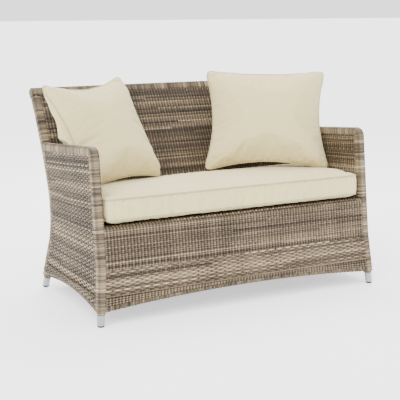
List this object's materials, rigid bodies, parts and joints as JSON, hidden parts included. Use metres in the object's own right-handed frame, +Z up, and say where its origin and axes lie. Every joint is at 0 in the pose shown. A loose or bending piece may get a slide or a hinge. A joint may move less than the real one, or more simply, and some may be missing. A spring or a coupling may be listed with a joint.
{
  "type": "patio loveseat",
  "caption": "Woven garden loveseat: bent tube frame on splayed legs, arched skirts, a boxed seat cushion and loose piped scatter pillows.",
  "frame": {"origin": "on the floor, under the middle of the whole sofa's outer box", "axes": "+X along the seat to the sitter's left hand, -Y the way the sitter faces, +Z up"},
  "size_m": [1.2719, 0.753, 0.8895],
  "materials": {
    "tube": "satin",
    "bright_leg": "satin",
    "glide": "matte",
    "weave": "matte",
    "seat_cloth": "matte",
    "pillow_cloth": "matte",
    "piping": "matte",
    "filling": "matte",
    "zip": "satin"
  },
  "bodies": {
    "frame": {"back_top_rail": "tube", "seat_front_rail": "tube", "seat_rear_rail": "tube", "front_mid_rail": "tube", "front_hem_rail": "tube", "rear_hem_rail": "tube", "back_top_wrap": "weave", "front_skin": "weave", "back_skin": "weave", "rear_skin": "weave", "seat_deck": "weave", "arm_tube_right": "tube", "arm_tube_left": "tube", "rear_post_right": "tube", "rear_post_left": "tube", "seat_side_rail_right": "tube", "seat_side_rail_left": "tube", "seat_cross_bar_right": "tube", "seat_cross_bar_left": "tube", "side_hem_rail_right": "tube", "side_hem_rail_left": "tube", "front_strut_right": "tube", "front_strut_left": "tube", "rear_strut_right": "tube", "rear_strut_left": "tube", "back_stile_right": "tube", "back_stile_left": "tube", "arm_wrap_right": "weave", "arm_wrap_left": "weave", "rear_wrap_right": "weave", "rear_wrap_left": "weave", "side_skin_right": "weave", "side_skin_left": "weave", "arm_lining_right": "weave", "arm_lining_left": "weave", "front_sleeve_right": "bright_leg", "front_sleeve_left": "bright_leg", "front_glide_right": "glide", "front_glide_left": "glide", "rear_sleeve_right": "bright_leg", "rear_sleeve_left": "bright_leg", "rear_glide_right": "glide", "rear_glide_left": "glide"},
    "seat_cushion": {"seat_cover": "seat_cloth", "seat_core": "filling", "seat_piping_upper": "piping", "seat_piping_lower": "piping", "seat_zip": "zip"},
    "pillow_left": {"left_pillow_cover": "pillow_cloth", "left_pillow_fill": "filling", "left_pillow_piping": "piping"},
    "pillow_right": {"right_pillow_cover": "pillow_cloth", "right_pillow_fill": "filling", "right_pillow_piping": "piping"}
  },
  "joints": [
    {"name": "seat_lift", "type": "slide", "parent": "frame", "child": "seat_cushion", "axis": [0, 0, 1], "range_m": [0, 0.3]},
    {"name": "left_pillow_lift", "type": "slide", "parent": "seat_cushion", "child": "pillow_left", "axis": [0, 0, 1], "range_m": [0, 0.4]},
    {"name": "right_pillow_lift", "type": "slide", "parent": "seat_cushion", "child": "pillow_right", "axis": [0, 0, 1], "range_m": [0, 0.4]}
  ]
}
